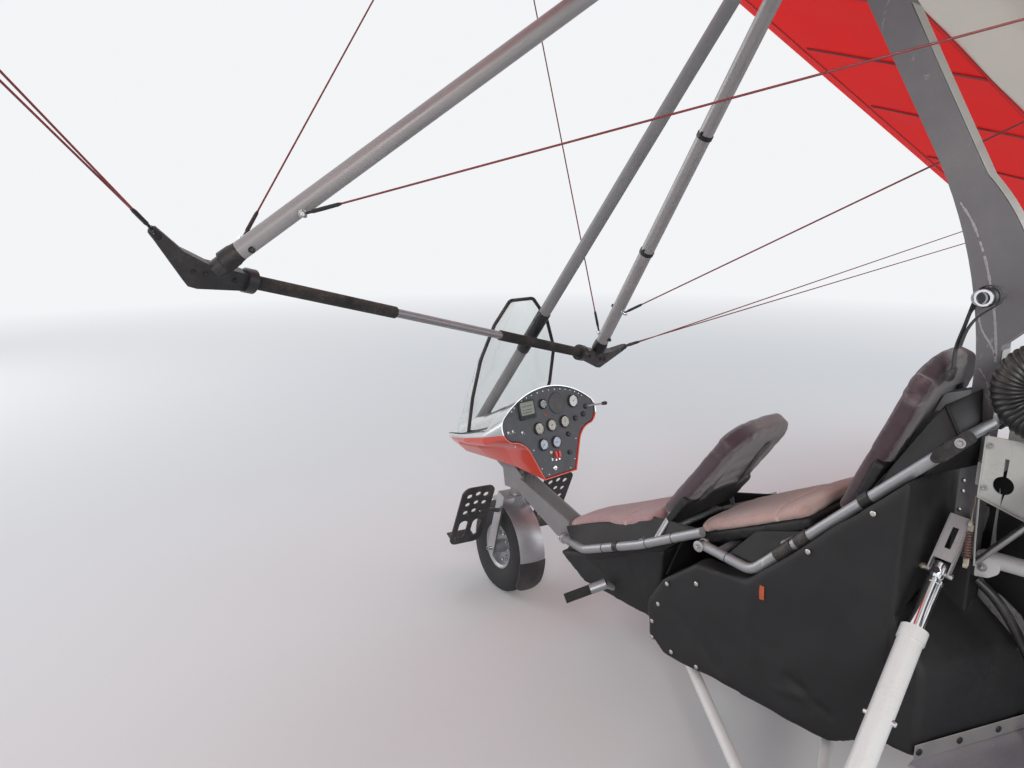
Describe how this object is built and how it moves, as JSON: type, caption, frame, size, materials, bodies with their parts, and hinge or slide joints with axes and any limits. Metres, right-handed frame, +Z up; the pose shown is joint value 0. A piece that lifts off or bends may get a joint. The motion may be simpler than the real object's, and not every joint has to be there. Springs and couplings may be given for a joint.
{
  "type": "weight-shift microlight trike",
  "caption": "Two-seat weight-shift microlight parked on three wheels, with tandem seats, a small instrument pod, a rear pusher propeller and a tilted double-surface flex wing.",
  "frame": {"origin": "on the ground, below the middle of the whole parked aircraft, the tilted wing included", "axes": "+X to port along the span, +Y aft, +Z up; the nose points along -Y"},
  "size_m": [9.4294, 3.408, 3.4528],
  "materials": {
    "grey_tube": "matt grey powder coat, scuffed",
    "light_tube": "satin anodised",
    "white_tube": "semi-gloss white, chipped",
    "chrome_rod": "polished",
    "steel": "brushed",
    "rim": "satin, dusty",
    "tyre": "dusty rubber",
    "black_plate": "satin black",
    "silver_paint": "satin silver, scratched",
    "black_plastic": "matt",
    "orange_shell": "gloss",
    "silver_cap": "gloss",
    "panel": "matt slate",
    "instrument": "matt with glazed faces",
    "screen": "clear, lightly scratched",
    "seat_pink": "worn velour",
    "seat_dark": "velour",
    "black_cloth": "coated cloth",
    "tray": "dull",
    "engine_metal": "cast, oily",
    "duct": "corrugated",
    "exhaust_metal": "heat stained",
    "blade": "carbon black",
    "wing_alloy": "anodised",
    "sail_red": "sailcloth",
    "sail_white": "sailcloth, weathered",
    "grip": "foam",
    "rig": "red coated cable"
  },
  "bodies": {
    "airframe": {"keel_beam": "light_tube", "nose_beam": "light_tube", "mast": "grey_tube", "mast_head": "steel", "front_strut": "grey_tube", "strut_sleeve": "black_plastic", "steering_head": "grey_tube", "gear_arms": "white_tube", "axles": "steel", "leg_rods": "chrome_rod", "leg_tubes": "white_tube", "leg_brackets": "steel", "pod_shell": "orange_shell", "pod_cap": "silver_cap", "instrument_panel": "panel", "instruments": "instrument", "windscreen": "screen", "screen_hoop": "black_plastic", "seat_frame_front": "light_tube", "seat_frame_rear": "light_tube", "cross_tubes": "light_tube", "front_cushion": "seat_pink", "front_backrest": "seat_dark", "rear_cushion": "seat_pink", "rear_backrest": "seat_dark", "fairing": "black_cloth", "front_belly": "black_cloth", "engine_tray": "tray", "foot_pegs": "grip", "crankcase": "engine_metal", "cylinders": "engine_metal", "engine_mount": "white_tube", "intake_duct": "duct", "exhaust": "exhaust_metal"},
    "fork": {"nose_fork": "steel", "nose_guard": "silver_paint", "guard_flap": "black_plastic", "pedals": "black_plate"},
    "nosewheel": {"nose_rim": "rim", "nose_tyre": "tyre"},
    "port_wheel": {"port_rim": "rim", "port_tyre": "tyre"},
    "starboard_wheel": {"starboard_rim": "rim", "starboard_tyre": "tyre"},
    "propeller": {"prop_blades": "blade", "prop_hub": "wing_alloy"},
    "hang": {"hang_block": "wing_alloy"},
    "wing": {"wing_keel": "wing_alloy", "uprights": "grey_tube", "apex_bracket": "black_plate", "base_bar": "wing_alloy", "bar_grips": "grip", "corner_brackets": "black_plate", "port_sail": "sail_white", "starboard_sail": "sail_white", "keel_pocket": "sail_white", "kingpost": "wing_alloy", "rigging": "rig"}
  },
  "joints": [
    {"name": "steering", "type": "hinge", "parent": "airframe", "child": "fork", "pos_m": [-0.084, -1.389, 0.2], "axis": [0, 0.2588, 0.9659], "range_deg": [-15, 35]},
    {"name": "nosewheel_spin", "type": "hinge", "parent": "fork", "child": "nosewheel", "pos_m": [-0.084, -1.389, 0.2], "axis": [0.9848, -0.1677, 0.0449], "continuous": true},
    {"name": "port_wheel_spin", "type": "hinge", "parent": "airframe", "child": "port_wheel", "pos_m": [0.778, 0.406, 0.2], "axis": [1, 0, 0], "continuous": true},
    {"name": "starboard_wheel_spin", "type": "hinge", "parent": "airframe", "child": "starboard_wheel", "pos_m": [-0.946, 0.406, 0.2], "axis": [1, 0, 0], "continuous": true},
    {"name": "propeller_spin", "type": "hinge", "parent": "airframe", "child": "propeller", "pos_m": [-0.084, 1.256, 1.15], "axis": [0, 1, 0], "continuous": true},
    {"name": "wing_pitch", "type": "hinge", "parent": "airframe", "child": "hang", "pos_m": [-0.084, -0.17768, 2.55686], "axis": [1, 0, 0], "range_deg": [0, 18]},
    {"name": "wing_roll", "type": "hinge", "parent": "hang", "child": "wing", "pos_m": [-0.084, -0.095, 2.601], "axis": [0, 0.9265, -0.3762], "range_deg": [0, 33]}
  ]
}
